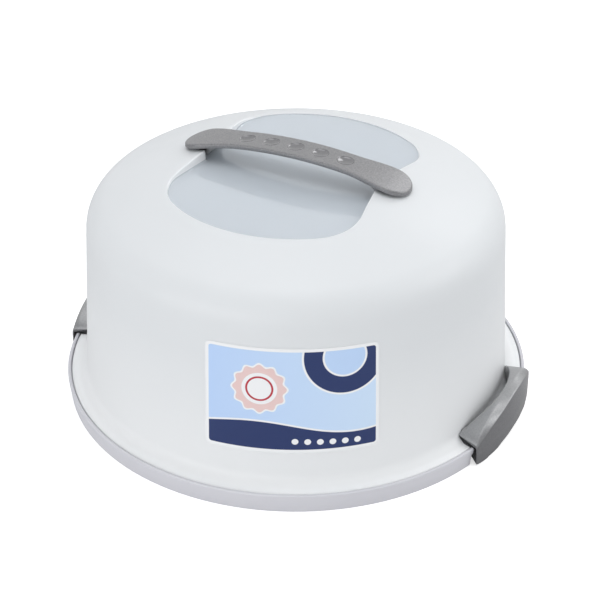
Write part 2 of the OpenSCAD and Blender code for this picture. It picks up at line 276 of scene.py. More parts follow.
def shoulder_centre():
    """Centre of the shoulder: tangent to the leaning wall and to the crown."""
    bx = WALL_R - SHOULDER_R * math.cos(DRAFT)
    bz = FLANGE_TOP - SHOULDER_R * math.sin(DRAFT)
    ux, uz = -math.sin(DRAFT), math.cos(DRAFT)
    wx, wz = bx, bz - CROWN_CZ
    half = wx * ux + wz * uz
    root = half * half - (wx * wx + wz * wz) + (CROWN_R - SHOULDER_R) ** 2
    step = math.sqrt(root) - half
    return bx + step * ux, bz + step * uz


SHOULDER_C = shoulder_centre()
SHOULDER_A = math.atan2(SHOULDER_C[1] - CROWN_CZ, SHOULDER_C[0])


def crown_z(r, t=0.0):
    """Height of the crown at radius r, t inside its outer face."""
    return CROWN_CZ + math.sqrt((CROWN_R - t) ** 2 - r * r)


def wall_at(z):
    """Radius of the wall's outer face at height z."""
    return WALL_R - (z - FLANGE_TOP) * math.tan(DRAFT)


def window_quarter():
    """The window's outline from the +X axis to the +Y axis, with the pocket under the handle."""
    cx = WINDOW_HALF_W - WINDOW_CORNER_R
    cy = math.sqrt((WINDOW_R - WINDOW_CORNER_R) ** 2 - cx * cx)
    a = math.degrees(math.atan2(cy, cx))
    low = POCKET_HALF_W + POCKET_IN_R
    wx, wy = WINDOW_WAIST - cx, low - cy
    b = math.degrees(math.atan2(wy, wx) + math.acos(WINDOW_CORNER_R / math.hypot(wx, wy)))
    corner = arc((cx, cy), WINDOW_CORNER_R, b, a, 20)
    out_x, out_y = POCKET_REACH - POCKET_OUT_R, POCKET_HALF_W - POCKET_OUT_R
    in_x = WINDOW_WAIST + POCKET_IN_R
    pts = line((POCKET_REACH, 0), (POCKET_REACH, out_y), 5)
    pts += arc((out_x, out_y), POCKET_OUT_R, 0, 90, 5)
    pts += line((out_x, POCKET_HALF_W), (in_x, POCKET_HALF_W), 3)[1:]
    pts += arc((in_x, low), POCKET_IN_R, 270, 180, 4)
    pts += line((WINDOW_WAIST, low), corner[0], 14)[1:]
    pts += corner
    pts += arc((0, 0), WINDOW_R, a, 90, 24)[1:]
    return pts


def window_outline():
    """The whole outline, counter-clockwise, with its outward normals."""
    q = window_quarter()
    back = q[::-1]
    pts = q[:-1] + [(-x, y) for x, y in back[:-1]]
    pts += [(-x, -y) for x, y in q[:-1]] + [(x, -y) for x, y in back[:-1]]
    n = len(pts)
    normals = []
    for i in range(n):
        (ax, ay), (bx, by) = pts[i - 1], pts[(i + 1) % n]
        d = math.hypot(bx - ax, by - ay)
        normals.append(((by - ay) / d, (ax - bx) / d))
    return pts, normals


OUTLINE, NORMALS = window_outline()
ANGLES = [math.atan2(y, x) for x, y in OUTLINE]


def grown(i, g):
    """Point i of the window's outline, moved outwards by g."""
    return OUTLINE[i][0] + g * NORMALS[i][0], OUTLINE[i][1] + g * NORMALS[i][1]


def window_ring(offsets, heights):
    """One ring that follows the window's outline, with an offset and a height at each point."""
    return [(*grown(i, g), z) for i, (g, z) in enumerate(zip(offsets, heights))]


def round_ring(r, z):
    return [(r * math.cos(a), r * math.sin(a), z) for a in ANGLES]


def blend_ring(g, r, s, t):
    """Between the outline grown by g (s = 0) and a circle of radius r (s = 1), on the crown."""
    ring = []
    for i, a in enumerate(ANGLES):
        x, y = between(grown(i, g), (r * math.cos(a), r * math.sin(a)), s)
        ring.append((x, y, crown_z(math.hypot(x, y), t)))
    return ring


def cover_skin(t):
    """Rings of the cover from the flange to the middle of the window, t inside the outer face.
    Returns the rings and the number of the first one that belongs to the clear window."""
    edge = [(FLANGE_R - FLANGE_HEM, FLANGE_Z)]
    if t == 0:
        edge_r, edge_z = FLANGE_R - FLANGE_EDGE_R, FLANGE_TOP - FLANGE_EDGE_R
        edge = [(FLANGE_R - FLANGE_CHAMFER, FLANGE_Z), (FLANGE_R, FLANGE_Z + FLANGE_CHAMFER)]
        edge += arc((edge_r, edge_z), FLANGE_EDGE_R, 0, 90, 4)
    edge += [(FOOT_C[0] + d, FLANGE_TOP - t) for d in FOOT_RUN]
    foot = arc(FOOT_C, FOOT_R + t, 270, 180 + math.degrees(DRAFT), 14)
    shoulder = arc(
        SHOULDER_C, SHOULDER_R - t, math.degrees(DRAFT), math.degrees(SHOULDER_A), 22)
    wall = line(foot[-1], shoulder[0], 14)[1:]
    rings = [round_ring(r, z) for r, z in edge + foot + wall + shoulder]

    top_r, low_r = WINDOW_INNER_EDGES if t else WINDOW_EDGES
    crown_r = shoulder[-1][0] - 1
    steps = 12
    rings += [blend_ring(t + top_r, crown_r, 1 - k / steps, t) for k in range(1, steps)]

    clear_from = len(rings)
    floor = WINDOW_Z - t
    rim = [crown_z(math.hypot(*grown(i, t)), t) for i in range(len(OUTLINE))]
    high = [min(top_r, 0.4 * (z - floor)) for z in rim]
    low = [min(low_r, 0.45 * (z - floor)) for z in rim]
    for k in range(5):
        a = math.radians(22.5 * k)
        rings.append(window_ring(
            [t + h * (1 - math.sin(a)) for h in high],
            [z - h * (1 - math.cos(a)) for z, h in zip(rim, high)]))
    for k in range(6):
        a = math.radians(18 * k)
        rings.append(window_ring(
            [t - min(WINDOW_LEAN, 0.5 * h) - w * (1 - math.cos(a)) for h, w in zip(high, low)],
            [floor + w * (1 - math.sin(a)) for w in low]))
    base = rings[-1]
    rings += [[(x * s, y * s, floor) for x, y, _ in base] for s in WINDOW_FLOOR_RINGS]
    return rings, clear_from


# ---------------------------------------------------------------- shape of a latch

def along(edge, u):
    """An edge's value at a share u of the latch's half angle."""
    start, change, power = edge
    return start + change * u ** power


def lip_at(u):
    """Radius and height of the lip's inner edge."""
    return LATCH_R - along(LIP_INSET, u), RIM_H + along(LIP_HEIGHT, u)


def crest_at(u):
    return LATCH_R - along(CREST_INSET, u), RIM_H + along(CREST_HEIGHT, u)


def brow_at(u):
    """The same for the upper edge of the outer face, which leans inwards above FACE_H."""
    z = RIM_H + along(BROW_HEIGHT, u)
    return LATCH_R - (z - FACE_H) * math.tan(FACE_LEAN), z


def foot_gap_arc(z, n):
    """n points down the latch's inner side, a gap off the cover's foot, from height z."""
    r = FOOT_R - LATCH_GAP
    low = math.degrees(math.asin((FOOT_C[1] - RIM_H - LATCH_GAP - LATCH_ARCH) / r))
    high = math.degrees(math.asin(min(1, max(math.sin(DRAFT), (FOOT_C[1] - z) / r))))
    on_wall = high <= math.degrees(DRAFT) + 0.01
    start = [(wall_at(z) + LATCH_GAP, z)] if on_wall else []
    return start + arc(FOOT_C, r, 180 + high, 180 + low, n - 1 - len(start))


def lower_sides(u):
    """Outer and inner side up to the hinge's height, within the lower edge's swing."""
    c = math.cos(math.radians(LATCH_A * u))

    def swing(z):
        return math.sqrt(max(0.0, LIP_R ** 2 - (HINGE_Z - z) ** 2))

    def outer(z):
        return min(LATCH_R, (HINGE_X + swing(z)) / c)

    def inner(z):
        return max(LATCH_IN, (HINGE_X - swing(z)) / c)

    # Height at which it becomes thick enough
    low, high = TABLE_GAP, HINGE_Z
    for _ in range(30):
        z = (low + high) / 2
        if outer(z) - inner(z) > LIP_THIN:
            high = z
        else:
            low = z
    steps = [high + (HINGE_Z + 1 - high) * (k / 5) ** 1.5 for k in range(6)]
    out_side = [(outer(min(z, HINGE_Z)), z) for z in steps]
    in_side = [(inner(min(z, HINGE_Z)), z) for z in steps[::-1]]
    return out_side, in_side


def latch_outline(u):
    """Radius and height round the latch at a share u of its half angle, counter-clockwise."""
    out_side, in_side = lower_sides(u)
    lip, crest, brow = lip_at(u), crest_at(u), brow_at(u)
    under = RIM_H + LATCH_GAP
    arch_from, arch_to = LATCH_ARCH_R
    lip_foot = (lip[0], under + LATCH_ARCH * (arch_from - lip[0]) / (arch_from - arch_to))
    # The inner side: open under the lip at the middle, close to the cover at the ends
    clear = [between(lip, lip_foot, k / 4) for k in range(5)]
    close = foot_gap_arc(lip[1], 5)
    s = smooth_step(u, GRIP_FROM, 1.0)
    down = [between(p, q, s) for p, q in zip(clear[1:], close[1:])]
    edge = (max(lip[0], close[0][0]), lip[1])
    face, heel = (LATCH_R, FACE_H), (LATCH_IN, under)
    pts = out_side + rounded(out_side[-1], face, brow, EASE_FACE)
    pts += rounded(face, brow, crest, EASE_BROW)
    pts += rounded(brow, crest, edge, EASE_CREST)
    pts += rounded(crest, edge, down[0], EASE_LIP)
    pts += down[:3] + rounded(down[2], down[3], heel, EASE_UNDER)
    pts += rounded(down[3], heel, in_side[0], EASE_LIP)
    return pts + in_side


# ---------------------------------------------------------------- mesh helpers

def new_object(name, verts, faces, smooth=True, marks=None):
    """A mesh object from millimetre points; marks are the faces' material numbers."""
    mesh = bpy.data.meshes.new(name)
    mesh.from_pydata([(x * MM, y * MM, z * MM) for x, y, z in verts], [], faces)
    if marks:
        mesh.polygons.foreach_set("material_index", marks)
    mesh.polygons.foreach_set("use_smooth", [smooth] * len(mesh.polygons))
    mesh.update()
    obj = bpy.data.objects.new(name, mesh)
    bpy.context.scene.collection.objects.link(obj)
    return obj


def stitch(rings, flip=False):
    """Quads between neighbouring rings of equal length."""
    n = len(rings[0])
    faces = []
    for k in range(len(rings) - 1):
        for i in range(n):
            j = (i + 1) % n
            quad = (k * n + i, k * n + j, (k + 1) * n + j, (k + 1) * n + i)
            faces.append(quad[::-1] if flip else quad)
    return faces


def shade_by_angle(obj, degrees):
    """Smooth shading that stays sharp at edges over the given angle."""
    bpy.context.view_layer.objects.active = obj
    obj.select_set(True)
    bpy.ops.object.shade_smooth_by_angle(angle=math.radians(degrees))
    obj.select_set(False)


# ---------------------------------------------------------------- materials

def material(name, colour, roughness, **sockets):
    """A Principled material; returns the material, its node tree and its shader."""
    mat = bpy.data.materials.new(name)
    mat.use_nodes = True
    tree = mat.node_tree
    shader = tree.nodes["Principled BSDF"]
    shader.inputs["Base Color"].default_value = (*colour, 1)
    shader.inputs["Roughness"].default_value = roughness
    for key, value in sockets.items():
        shader.inputs[key.replace("_", " ")].default_value = value
    return mat, tree, shader


def coordinates(tree, kind):
    return tree.nodes.new("ShaderNodeTexCoord").outputs[kind]


def axis(tree, vector, name):
    """One component of a vector."""
    split = tree.nodes.new("ShaderNodeSeparateXYZ")
    tree.links.new(vector, split.inputs[0])
    return split.outputs[name]


def noise(tree, scale, detail=3.0, rough=0.5):
    node = tree.nodes.new("ShaderNodeTexNoise")
    node.inputs["Scale"].default_value = scale
    node.inputs["Detail"].default_value = detail
    node.inputs["Roughness"].default_value = rough
    tree.links.new(coordinates(tree, "Object"), node.inputs["Vector"])
    return node.outputs["Fac"]


def to_range(tree, value, low, high, frm=(0.3, 0.7)):
    """Maps a value from one range to another; noise mostly lies in the default one."""
    node = tree.nodes.new("ShaderNodeMapRange")
    node.inputs["From Min"].default_value = frm[0]
    node.inputs["From Max"].default_value = frm[1]
    node.inputs["To Min"].default_value = low
    node.inputs["To Max"].default_value = high
    tree.links.new(value, node.inputs["Value"])
    return node.outputs["Result"]


def mix(tree, factor, a, b):
    """A mix of two colours, each a triple or another node's output."""
    node = tree.nodes.new("ShaderNodeMix")
    node.data_type = "RGBA"
    tree.links.new(factor, node.inputs["Factor"])
    for name, colour in (("A", a), ("B", b)):
        if isinstance(colour, tuple):
            node.inputs[name].default_value = (*colour, 1)
        else:
            tree.links.new(colour, node.inputs[name])
    return node.outputs["Result"]


def clouded(tree, scale, detail, tones):
    """A colour that drifts between two tones."""
    return mix(tree, to_range(tree, noise(tree, scale, detail), 0, 1), *tones)


def bump(tree, shader, height, distance, strength):
    node = tree.nodes.new("ShaderNodeBump")
    node.inputs["Distance"].default_value = distance
    node.inputs["Strength"].default_value = strength
    tree.links.new(height, node.inputs["Height"])
    tree.links.new(node.outputs["Normal"], shader.inputs["Normal"])


def dress(tree, shader, colour, rough_scale, rough):
    """Gives the shader its colour and a roughness that drifts between two values."""
    tree.links.new(colour, shader.inputs["Base Color"])
    tree.links.new(to_range(tree, noise(tree, rough_scale), *rough), shader.inputs["Roughness"])


def frosted_plastic():
    """Milky plastic, with painted light: a whiter colour low down stands in for the light that
    falls on and through the lower wall.
    """
    mat, tree, shader = material(
        "frosted_plastic", (0.8, 0.83, 0.85), 0.45, Transmission_Weight=FROST_T, IOR=PLASTIC_IOR)
    body = clouded(tree, 9, 2, FROST_BODY)
    # Painted light: whiter tones low down, which fade into the body's tones higher up
    foot = clouded(tree, 9, 2, FROST_FOOT_PAINTED_LIGHT)
    height = axis(tree, coordinates(tree, "Object"), "Z")
    low = to_range(tree, height, 1, 0, frm=FROST_PAINTED_LIGHT_FADE)
    dress(tree, shader, mix(tree, low, body, foot), 60, (0.38, 0.46))
    bump(tree, shader, noise(tree, 1400, 2), 0.00002, 0.4)
    return mat


def white_flange():
    """The cover's flange, which lies on the white tray."""
    mat, tree, shader = material(
        "white_flange", (0.9, 0.92, 0.93), 0.4, Transmission_Weight=FLANGE_T, IOR=PLASTIC_IOR)
    dress(tree, shader, clouded(tree, 9, 2, FLANGE_TONES), 60, (0.34, 0.44))
    bump(tree, shader, noise(tree, 1400, 2), 0.00002, 0.4)
    return mat


def window_edge_highlight():
    """The step round the window: clear plastic given a whiter colour, a painted highlight where
    its walls catch the light.
    """
    mat, tree, shader = material(
        "window_edge_highlight", (0.93, 0.95, 0.97), 0.14, Transmission_Weight=EDGE_T, IOR=PLASTIC_IOR)
    dress(tree, shader, clouded(tree, 30, 2, EDGE_HIGHLIGHT_TONES), 60, (0.1, 0.18))
    bump(tree, shader, noise(tree, 500, 2), 0.00002, 0.3)
    return mat


def clear_plastic():
    mat, tree, shader = material(
        "clear_plastic", CLEAR_TONES[0], 0.05, Transmission_Weight=CLEAR_T, IOR=PLASTIC_IOR)
    dress(tree, shader, clouded(tree, 16, 2, CLEAR_TONES), 40, (0.03, 0.08))
    bump(tree, shader, noise(tree, 12, 1), 0.0004, 0.15)
    return mat


def white_plastic():
    mat, tree, shader = material("white_plastic", (0.86, 0.87, 0.88), 0.32, IOR=PLASTIC_IOR)
    dress(tree, shader, clouded(tree, 14, 3, TRAY_TONES), 90, (0.28, 0.38))
    bump(tree, shader, noise(tree, 700, 2), 0.00003, 0.3)
    return mat


def grain_noise(tree, size):
    return noise(tree, size, 3, 0.6)


def grey_plastic(name, tones, rough, grain_size, grain_depth):
    """Satin grey plastic with a fine moulded grain."""
    mat, tree, shader = material(name, tones[0], sum(rough) / 2, Metallic=GREY_METAL, IOR=1.5)
    grain = grain_noise(tree, grain_size)
    colour = mix(tree, to_range(tree, grain, 0, 1), *tones)
    dress(tree, shader, colour, grain_size * 1.2, rough)
    bump(tree, shader, grain, grain_depth, 0.5)
    return mat


def grey_handle():
    return grey_plastic("grey_handle", HANDLE_TONES, (0.32, 0.46), 900, 0.0002)


def grey_dish():
    """Polished dishes in the strap."""
    return grey_plastic("grey_dish", DISH_TONES, (0.06, 0.1), 500, 0.00002)


def grey_latch():
    """The same grey, with painted light: facets that face upwards are given a lighter colour, as
    if lit from above.
    """
    grain_size = 900
    mat = grey_plastic("grey_latch", LATCH_TONES, (0.3, 0.4), grain_size, 0.0001)
    tree = mat.node_tree
    base = tree.nodes["Principled BSDF"].inputs["Base Color"]
    plain = base.links[0].from_socket
    upward = axis(tree, coordinates(tree, "Normal"), "Z")
    # Painted light: lighter tones which take over from the plain grey as the surface turns to face
    # upwards
    painted_light = mix(tree, to_range(tree, grain_noise(tree, grain_size), 0, 1), *LATCH_PAINTED_LIGHT)
    tree.links.new(mix(tree, to_range(tree, upward, 0, 1, frm=(0.35, 0.85)), plain, painted_light), base)
    return mat


def label_paper():
    """Printed paper: a generic pattern, drawn in millimetres from the label's lower left."""
    mat, tree, shader = material("label_paper", (0.8, 0.8, 0.8), 0.38, IOR=1.45)

    def calc(kind, *values):
        """A maths node with numbers or other nodes' outputs as its inputs."""
        node = tree.nodes.new("ShaderNodeMath")
        node.operation = kind
        for i, v in enumerate(values):
            if isinstance(v, (int, float)):
                node.inputs[i].default_value = v
            else:
                tree.links.new(v, node.inputs[i])
        return node.outputs[0]

    x = calc("MULTIPLY", axis(tree, coordinates(tree, "UV"), "X"), LABEL_W)
    y = calc("MULTIPLY", axis(tree, coordinates(tree, "UV"), "Y"), LABEL_H)

    def length(p, q):
        return calc("SQRT", calc("ADD", calc("MULTIPLY", p, p), calc("MULTIPLY", q, q)))

    def from_point(c):
        return length(calc("SUBTRACT", x, c[0]), calc("SUBTRACT", y, c[1]))

    def from_box(cx, cy, half_w, half_h, r):
        """Distance from a box with round corners, negative inside."""
        qx = calc("SUBTRACT", calc("ABSOLUTE", calc("SUBTRACT", x, cx)), half_w - r)
        qy = calc("SUBTRACT", calc("ABSOLUTE", calc("SUBTRACT", y, cy)), half_h - r)
        far = length(calc("MAXIMUM", qx, 0.0), calc("MAXIMUM", qy, 0.0))
        near = calc("MINIMUM", calc("MAXIMUM", qx, qy), 0.0)
        return calc("SUBTRACT", calc("ADD", far, near), r)

    def below(value, edge):
        """1 where the value is under the edge, with a soft step of a quarter of a millimetre."""
        return to_range(tree, calc("SUBTRACT", value, edge), 1, 0, frm=(-0.12, 0.12))

    def disc(under, colour, distance, r):
        return mix(tree, below(distance, r), under, colour)

    # A sky that pales to the right, over a navy wave with a white crest
    art = mix(tree, to_range(tree, x, 0, 1, frm=(0, LABEL_W)), *PRINT_SKY)
    wave_y, wave_rise, wave_turn, crest_w = 19.0, 5.0, 0.045, 1.4
    wave = calc("MULTIPLY_ADD", calc("SINE", calc("MULTIPLY", x, wave_turn)), wave_rise, wave_y)
    art = mix(tree, below(y, calc("ADD", wave, crest_w)), art, PRINT_WHITE)
    art = mix(tree, below(y, wave), art, PRINT_NAVY)

    # A ringed disc at the upper right
    disc_d = from_point((96.0, 74.0))
    for r, colour in ((29.4, PRINT_WHITE), (28.0, PRINT_NAVY),
                      (15.4, PRINT_WHITE), (14.0, PRINT_BLUE)):
        art = disc(art, colour, disc_d, r)

    # A scalloped rosette at the left
    rosette, petals, petal_rise, petal_r, petal_edge = (38.0, 50.0), 12.0, 1.1, 17.5, 1.3
    dx, dy = calc("SUBTRACT", x, rosette[0]), calc("SUBTRACT", y, rosette[1])
    wavy = calc("COSINE", calc("MULTIPLY", calc("ARCTAN2", dy, dx), petals))
    scallop = calc("MULTIPLY_ADD", wavy, petal_rise, petal_r)
    rosette_d = from_point(rosette)
    art = disc(art, PRINT_WHITE, rosette_d, calc("ADD", scallop, petal_edge))
    art = disc(art, PRINT_ROSE, rosette_d, scallop)
    for r, colour in ((12.2, PRINT_WHITE), (9.6, PRINT_RED), (8.2, PRINT_WHITE)):
        art = disc(art, colour, rosette_d, r)

    # A row of six white dots at the lower right
    dot_x, dot_y, dot_step, dot_fall, dot_r = 62.0, 9.0, 8.5, 0.35, 2.3
    for k in range(6):
        dot_d = from_point((dot_x + dot_step * k, dot_y - dot_fall * k))
        art = disc(art, PRINT_WHITE, dot_d, dot_r)

    # A white border with round inner corners
    border, corner_r = 2.4, 2.0
    half_w, half_h = LABEL_W / 2, LABEL_H / 2
    inside = below(from_box(half_w, half_h, half_w - border, half_h - border, corner_r), 0.0)
    dress(tree, shader, mix(tree, inside, PRINT_WHITE, art), 120, (0.33, 0.43))
    bump(tree, shader, noise(tree, 900, 2), 0.00002, 0.3)
    return mat


# ---------------------------------------------------------------- pieces

def make_cover():
    """The cover's outer and inner skins, joined along the flange's edge."""
    frosted, clear, highlight_edge, flange = range(4)
    rounded_rings = 5
    n = len(OUTLINE)
    verts, faces, marks = [], [], []

    def slot_of(past, z):
        """The material of a face at height z, a number of rings past the window's rim."""
        if past >= rounded_rings:
            return clear
        # The rounded rim of the window gets the painted highlight
        if past >= 0:
            return highlight_edge
        return flange if z < FLANGE_TOP + 0.1 else frosted

    def add_skin(t, flip=False):
        rings, clear_from = cover_skin(t)
        base = len(verts)
        verts.extend(p for ring in rings for p in ring)
        quads = [tuple(base + v for v in quad) for quad in stitch(rings, flip)]
        faces.extend(quads)
        marks.extend(
            slot_of(k // n - clear_from, verts[quad[0]][2]) for k, quad in enumerate(quads))
        last, centre = base + (len(rings) - 1) * n, len(verts)
        verts.append((0, 0, WINDOW_Z - t))
        fan = [(last + i, last + (i + 1) % n) for i in range(n)]
        faces.extend((b, a, centre) if flip else (a, b, centre) for a, b in fan)
        marks.extend([clear] * n)
        return base

    out = add_skin(0.0)
    inn = add_skin(COVER_T, flip=True)
    faces += [(inn + i, inn + (i + 1) % n, out + (i + 1) % n, out + i) for i in range(n)]
    marks += [flange] * n
    obj = new_object("cover_shell", verts, faces, marks=marks)
    for mat in (frosted_plastic(), clear_plastic(), window_edge_highlight(), white_flange()):
        obj.data.materials.append(mat)
    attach(obj, "cover")
    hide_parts("cover")


def strap_hw(x):
    """Half the strap's width: straight to the neck, then wider into a round paddle."""
    if abs(x) > PADDLE_X:
        d = abs(x) - PADDLE_X
        return math.sqrt(max(0.0, (PADDLE_W / 2) ** 2 - d * d))
    u = min(1, max(0, (abs(x) - STRAP_NECK) / (PADDLE_X - STRAP_NECK)))
    return STRAP_W / 2 + (PADDLE_W - STRAP_W) / 2 * (1 - math.cos(math.pi * u)) / 2


def strap_z(x):
    """Height of the strap's top, which comes down towards the crown near its ends."""
    arch = (1 + math.cos(math.pi * (abs(x) / STRAP_HALF_L) ** STRAP_BEND)) / 2
    return crown_z(x) + STRAP_GAP + STRAP_T + STRAP_LIFT * arch


def strap_depth(x, y):
    """Distance from the strap's outline."""
    if abs(x) > PADDLE_X:
        return PADDLE_W / 2 - math.hypot(abs(x) - PADDLE_X, y)
    return strap_hw(x) - abs(y)


def dish_levels():
    """Radius and depth of the rings down a dish, from its eased edge to near its middle."""
    step, sink = DISH_EASE
    levels = [(DISH_MOUTH_R - step * q, sink * q * q) for q in range(1, 5)]
    edge = levels[-1][1]
    return levels + [(DISH_R * t, edge + DISH_DEPTH * (1 - t * t)) for t in DISH_RINGS], edge


def make_handle():
    """Strap with rounded edges and five glossy dishes pressed into its top."""
    # Grid of the strap: cells along and across, and half the width in cells of a dish's patch
    step_cells, mid_cells, tip_cells, across, half_patch = 20, 50, 60, 34, 8
    near, far = 9, across - 9
    mid = [DISH_STEP / step_cells * k for k in range(-mid_cells, mid_cells + 1)]
    # The last row ends just short of the tip, where it still has a width
    tip_gap = 0.01
    tip_l = STRAP_HALF_L - tip_gap - mid[-1]
    tip = [mid[-1] + tip_l * math.sin(math.pi / 2 * i / tip_cells)
           for i in range(1, tip_cells + 1)]
    xs = [-x for x in tip[::-1]] + mid + tip
    rows = []
    for x in xs:
        hw = strap_hw(x)
        top, bottom = [], []
        for j in range(across + 1):
            y = -hw * math.cos(math.pi * j / across)
            drop = edge_drop(strap_depth(x, y), STRAP_EDGE_R)
            top.append((x, y, strap_z(x) - drop))
            bottom.append((x, y, strap_z(x) - STRAP_T + drop))
        rows.append(top + bottom[::-1])
    n = len(rows[0])
    verts = [p for row in rows for p in row]
    dishes = [len(tip) + mid_cells + step_cells * k for k in range(-2, 3)]
    faces = []
    for k in range(len(rows) - 1):
        for i in range(n):
            in_patch = any(-half_patch <= k - d < half_patch for d in dishes)
            if near <= i < far and in_patch:
                continue
            j = (i + 1) % n
            faces.append(((k + 1) * n + i, (k + 1) * n + j, k * n + j, k * n + i))
    faces.append(tuple(range(n)))
    faces.append(tuple((len(rows) - 1) * n + i for i in reversed(range(n))))
    marks = [0] * len(faces)

    def add_ring(last, points, mark):
        """Joins a ring of new points to the last one and returns its vertex numbers."""
        m = len(points)
        new = [len(verts) + i for i in range(m)]
        verts.extend(points)
        faces.extend((last[i], last[(i + 1) % m], new[(i + 1) % m], new[i]) for i in range(m))
        marks.extend([mark] * m)
        return new

    levels, edge = dish_levels()
    for d in dishes:
        cx = xs[d]
        low, high = d - half_patch, d + half_patch
        last = [k * n + near for k in range(low, high)]
        last += [high * n + j for j in range(near, far)]
        last += [k * n + far for k in range(high, low, -1)]
        last += [low * n + j for j in range(far, near, -1)]
        patch = [verts[v][:2] for v in last]
        angles = [math.atan2(y, x - cx) for x, y in patch]

        def circle(r):
            return [(cx + r * math.cos(a), r * math.sin(a)) for a in angles]

        # From the patch's border to the dish's mouth, on the face of the strap
        for share in (0.5, 1.0):
            flat = [between(p, q, share) for p, q in zip(patch, circle(DISH_MOUTH_R))]
            last = add_ring(last, [(x, y, strap_z(x)) for x, y in flat], 0)
        for r, sink in levels:
            last = add_ring(last, [(x, y, strap_z(x) - sink) for x, y in circle(r)], 1)
        verts.append((cx, 0, strap_z(cx) - edge - DISH_DEPTH))
        m = len(last)
        faces += [(last[i], last[(i + 1) % m], len(verts) - 1) for i in range(m)]
        marks += [1] * m
    obj = new_object("handle_strap", verts, faces, marks=marks)
    obj.data.materials.append(grey_handle())
    obj.data.materials.append(grey_dish())
    legs = [make_leg(s) for s in (-1, 1)]
    for leg in legs:
        leg.data.materials.append(obj.data.materials[0])
        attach(leg, "cover")
    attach(obj, "cover")
    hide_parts("handle")


def make_leg(side):
    """Hooked leg under one end of the strap, a bent bar with rounded edges."""
    top = (LEG_X, strap_z(LEG_X) - STRAP_T / 2)
    knee = (POCKET_REACH - LEG_T - 5 * SLOT_GAP, WINDOW_Z + LEG_T / 2 + SLOT_GAP)
    toe = (POCKET_REACH + COVER_T, knee[1] + 3 * SLOT_GAP)

    def across(p, q):
        """Half the bar's thickness, square to the line from p to q."""
        k = LEG_T / 2 / math.dist(p, q)
        return k * (p[1] - q[1]), k * (q[0] - p[0])

    upper, lower = across(top, knee), across(knee, toe)
    both = (upper[0] + lower[0], upper[1] + lower[1])
    k = (LEG_T * LEG_T / 2) / (both[0] ** 2 + both[1] ** 2)
    mitre = (both[0] * k, both[1] * k)
    bends = ((top, upper), (knee, mitre), (toe, lower))
    outline = [(p[0] + d[0], p[1] + d[1]) for p, d in bends]
    outline += [(p[0] - d[0], p[1] - d[1]) for p, d in bends[::-1]]
    n = len(outline)
    verts = [(side * x, side * y, z) for y in (-LEG_W / 2, LEG_W / 2) for x, z in outline]
    faces = [(i, (i + 1) % n, n + (i + 1) % n, n + i) for i in range(n)]
    faces += [(0, 5, 4, 1), (1, 4, 3, 2), (6, 7, 10, 11), (7, 8, 9, 10)]
    name = "handle_leg_left" if side < 0 else "handle_leg_right"
    obj = new_object(name, verts, faces, smooth=False)
    ease = obj.modifiers.new("bevel", "BEVEL")
    ease.width = LEG_EDGE_R * MM
    ease.segments = 3
    ease.limit_method = "ANGLE"
    ease.angle_limit = math.radians(20)
    return obj


def make_latch(name, side, mat):
    """A closed latch with eased edges, its barrel and its pins."""
    last = 1 - LATCH_END_R / (LATCH_R * math.radians(LATCH_A))
    steps = 28
    half = [last * k / steps for k in range(steps + 1)]
    rows = [(u, latch_outline(abs(u))) for u in [-v for v in half[:0:-1]] + half]
    end = rows[-1][1]
    for degrees in (30, 60, 90):
        a = math.radians(degrees)
        u = last + (1 - last) * math.sin(a)
        ring = inset(end, LATCH_END_R * (1 - math.cos(a)))
        rows.append((u, ring))
        rows.insert(0, (-u, ring))
    verts = []
    for u, ring in rows:
        a = math.radians(LATCH_A * u)
        verts += [(r * math.cos(a), r * math.sin(a), z) for r, z in ring]
    n = len(rows[0][1])
    faces = stitch([ring for _, ring in rows], flip=True)
    faces.append(tuple(range(n)))
    faces.append(tuple(len(verts) - n + i for i in reversed(range(n))))

    def bar(profile, y0, y1):
        """A bar along Y with chamfered ends."""
        base, m = len(verts), len(profile)
        cx = sum(x for x, _ in profile) / m
        cz = sum(z for _, z in profile) / m
        for y, shrink in ((y0, BAR_CHAMFER), (y0 + BAR_CHAMFER, 0),
                          (y1 - BAR_CHAMFER, 0), (y1, BAR_CHAMFER)):
            for x, z in profile:
                k = 1 - shrink / math.hypot(x - cx, z - cz)
                verts.append((cx + (x - cx) * k, y, cz + (z - cz) * k))
        faces.extend(tuple(base + v for v in f) for f in stitch([profile] * 4, flip=True))
        faces.append(tuple(base + i for i in range(m)))
        faces.append(tuple(base + 3 * m + i for i in reversed(range(m))))

    barrel = arc((HINGE_X, HINGE_Z), BARREL_R, 90, 270, 20)
    web = [(WEB_X, HINGE_Z - BARREL_R), (WEB_X, HINGE_Z + BARREL_R)]
    bar(barrel + web, -BARREL_HALF, BARREL_HALF)
    pin = arc((HINGE_X, HINGE_Z), PIN_R, 0, 345, 23)
    bar(pin, PIN_FROM, PIN_TO)
    bar(pin, -PIN_TO, -PIN_FROM)
    obj = new_object(name + "_clip", [(side * x, side * y, z) for x, y, z in verts], faces)
    shade_by_angle(obj, 32)
    obj.data.materials.append(mat)
    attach(obj, name)
    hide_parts(name)


